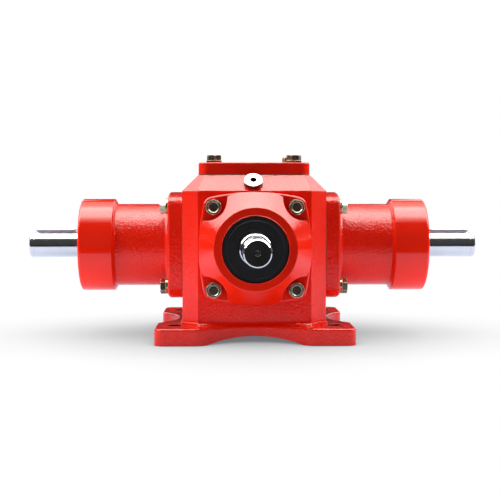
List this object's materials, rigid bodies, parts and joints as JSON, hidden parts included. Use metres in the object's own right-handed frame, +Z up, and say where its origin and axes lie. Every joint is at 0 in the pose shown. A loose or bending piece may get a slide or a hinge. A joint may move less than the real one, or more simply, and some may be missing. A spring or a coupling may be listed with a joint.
{
  "type": "right-angle gearbox",
  "caption": "Red cast-iron right-angle spiral bevel gearbox on feet, with a through cross shaft, a flanged front input shaft and keyed shaft ends.",
  "frame": {"origin": "middle of the underside of the feet, under the point where the two shaft axes cross", "axes": "+X along the cross shaft, -Y along the input shaft towards its free end, +Z up"},
  "size_m": [0.448, 0.2715, 0.179],
  "materials": {
    "red_paint": "semi-gloss bright red enamel over rough cast iron, smoother on the turned collars and covers",
    "ground_steel": "ground and polished shaft steel with fine rings round the axis",
    "key_steel": "drawn key steel, dull and bluish",
    "bolt_zinc": "zinc plated, bright edges and a darker dished top",
    "washer_zinc": "zinc plated spring steel",
    "plug_steel": "bright zinc plated plug",
    "plug_washer": "soft aluminium seal ring",
    "gasket_paper": "thin dark gasket sheet, almost hidden between two faces",
    "seal_rubber": "black nitrile rubber, slightly oily",
    "gear_steel": "case-hardened gear steel with ground flanks",
    "spring_steel": "phosphated spring steel",
    "spacer_steel": "turned steel",
    "cage_steel": "pressed sheet steel",
    "bearing_steel": "polished bearing steel"
  },
  "bodies": {
    "gearbox_body": {"gearbox_housing": "red_paint", "input_bearing_housing": "red_paint", "input_bearing_outer_rings": "bearing_steel", "input_bore_ring": "spring_steel", "input_housing_bolts": "bolt_zinc", "input_housing_gasket": "gasket_paper", "input_housing_washers": "washer_zinc", "input_oil_seal": "seal_rubber", "input_outer_spacer": "spacer_steel", "left_bearing_housing": "red_paint", "left_bearing_outer_rings": "bearing_steel", "left_bore_ring": "spring_steel", "left_housing_bolts": "bolt_zinc", "left_housing_gasket": "gasket_paper", "left_housing_washers": "washer_zinc", "left_oil_seal": "seal_rubber", "left_outer_spacer": "spacer_steel", "oil_drain_plug": "plug_steel", "oil_filler_plug": "plug_steel", "plug_washers": "plug_washer", "rear_cover": "red_paint", "rear_cover_bolts": "bolt_zinc", "rear_cover_gasket": "gasket_paper", "rear_cover_washers": "washer_zinc", "right_bearing_housing": "red_paint", "right_bearing_outer_rings": "bearing_steel", "right_bore_ring": "spring_steel", "right_housing_bolts": "bolt_zinc", "right_housing_gasket": "gasket_paper", "right_housing_washers": "washer_zinc", "right_oil_seal": "seal_rubber", "right_outer_spacer": "spacer_steel", "top_cover": "red_paint", "top_cover_bolts": "bolt_zinc", "top_cover_gasket": "gasket_paper", "top_cover_washers": "washer_zinc"},
    "cross_shaft_body": {"cross_shaft": "ground_steel", "crown_gear": "gear_steel", "crown_gear_key": "key_steel", "crown_gear_ring": "spring_steel", "left_output_key": "key_steel", "right_output_key": "key_steel", "left_bearing_inner_rings": "bearing_steel", "right_bearing_inner_rings": "bearing_steel", "left_inner_spacer": "spacer_steel", "right_inner_spacer": "spacer_steel"},
    "input_shaft_body": {"input_shaft": "ground_steel", "pinion_gear": "gear_steel", "pinion_key": "key_steel", "pinion_ring": "spring_steel", "input_key": "key_steel", "input_bearing_inner_rings": "bearing_steel", "input_inner_spacer": "spacer_steel"},
    "left_ball_cages": {"left_bearing_balls": "bearing_steel", "left_bearing_cages": "cage_steel"},
    "right_ball_cages": {"right_bearing_balls": "bearing_steel", "right_bearing_cages": "cage_steel"},
    "input_ball_cages": {"input_bearing_balls": "bearing_steel", "input_bearing_cages": "cage_steel"}
  },
  "joints": [
    {"name": "cross_shaft_spin", "type": "hinge", "parent": "gearbox_body", "child": "cross_shaft_body", "pos_m": [0, 0, 0.09], "axis": [1, 0, 0], "continuous": true},
    {"name": "input_shaft_spin", "type": "hinge", "parent": "gearbox_body", "child": "input_shaft_body", "pos_m": [0, 0, 0.09], "axis": [0, 1, 0], "continuous": true},
    {"name": "left_ball_cages_spin", "type": "hinge", "parent": "gearbox_body", "child": "left_ball_cages", "pos_m": [-0.11, 0, 0.09], "axis": [1, 0, 0], "continuous": true},
    {"name": "right_ball_cages_spin", "type": "hinge", "parent": "gearbox_body", "child": "right_ball_cages", "pos_m": [0.11, 0, 0.09], "axis": [1, 0, 0], "continuous": true},
    {"name": "input_ball_cages_spin", "type": "hinge", "parent": "gearbox_body", "child": "input_ball_cages", "pos_m": [0, -0.08, 0.09], "axis": [0, 1, 0], "continuous": true}
  ],
  "couplings": [
    {"joint": "input_shaft_spin", "follows": "cross_shaft_spin", "ratio": 1},
    {"joint": "left_ball_cages_spin", "follows": "cross_shaft_spin", "ratio": 0.402},
    {"joint": "right_ball_cages_spin", "follows": "cross_shaft_spin", "ratio": 0.402},
    {"joint": "input_ball_cages_spin", "follows": "cross_shaft_spin", "ratio": 0.402}
  ]
}
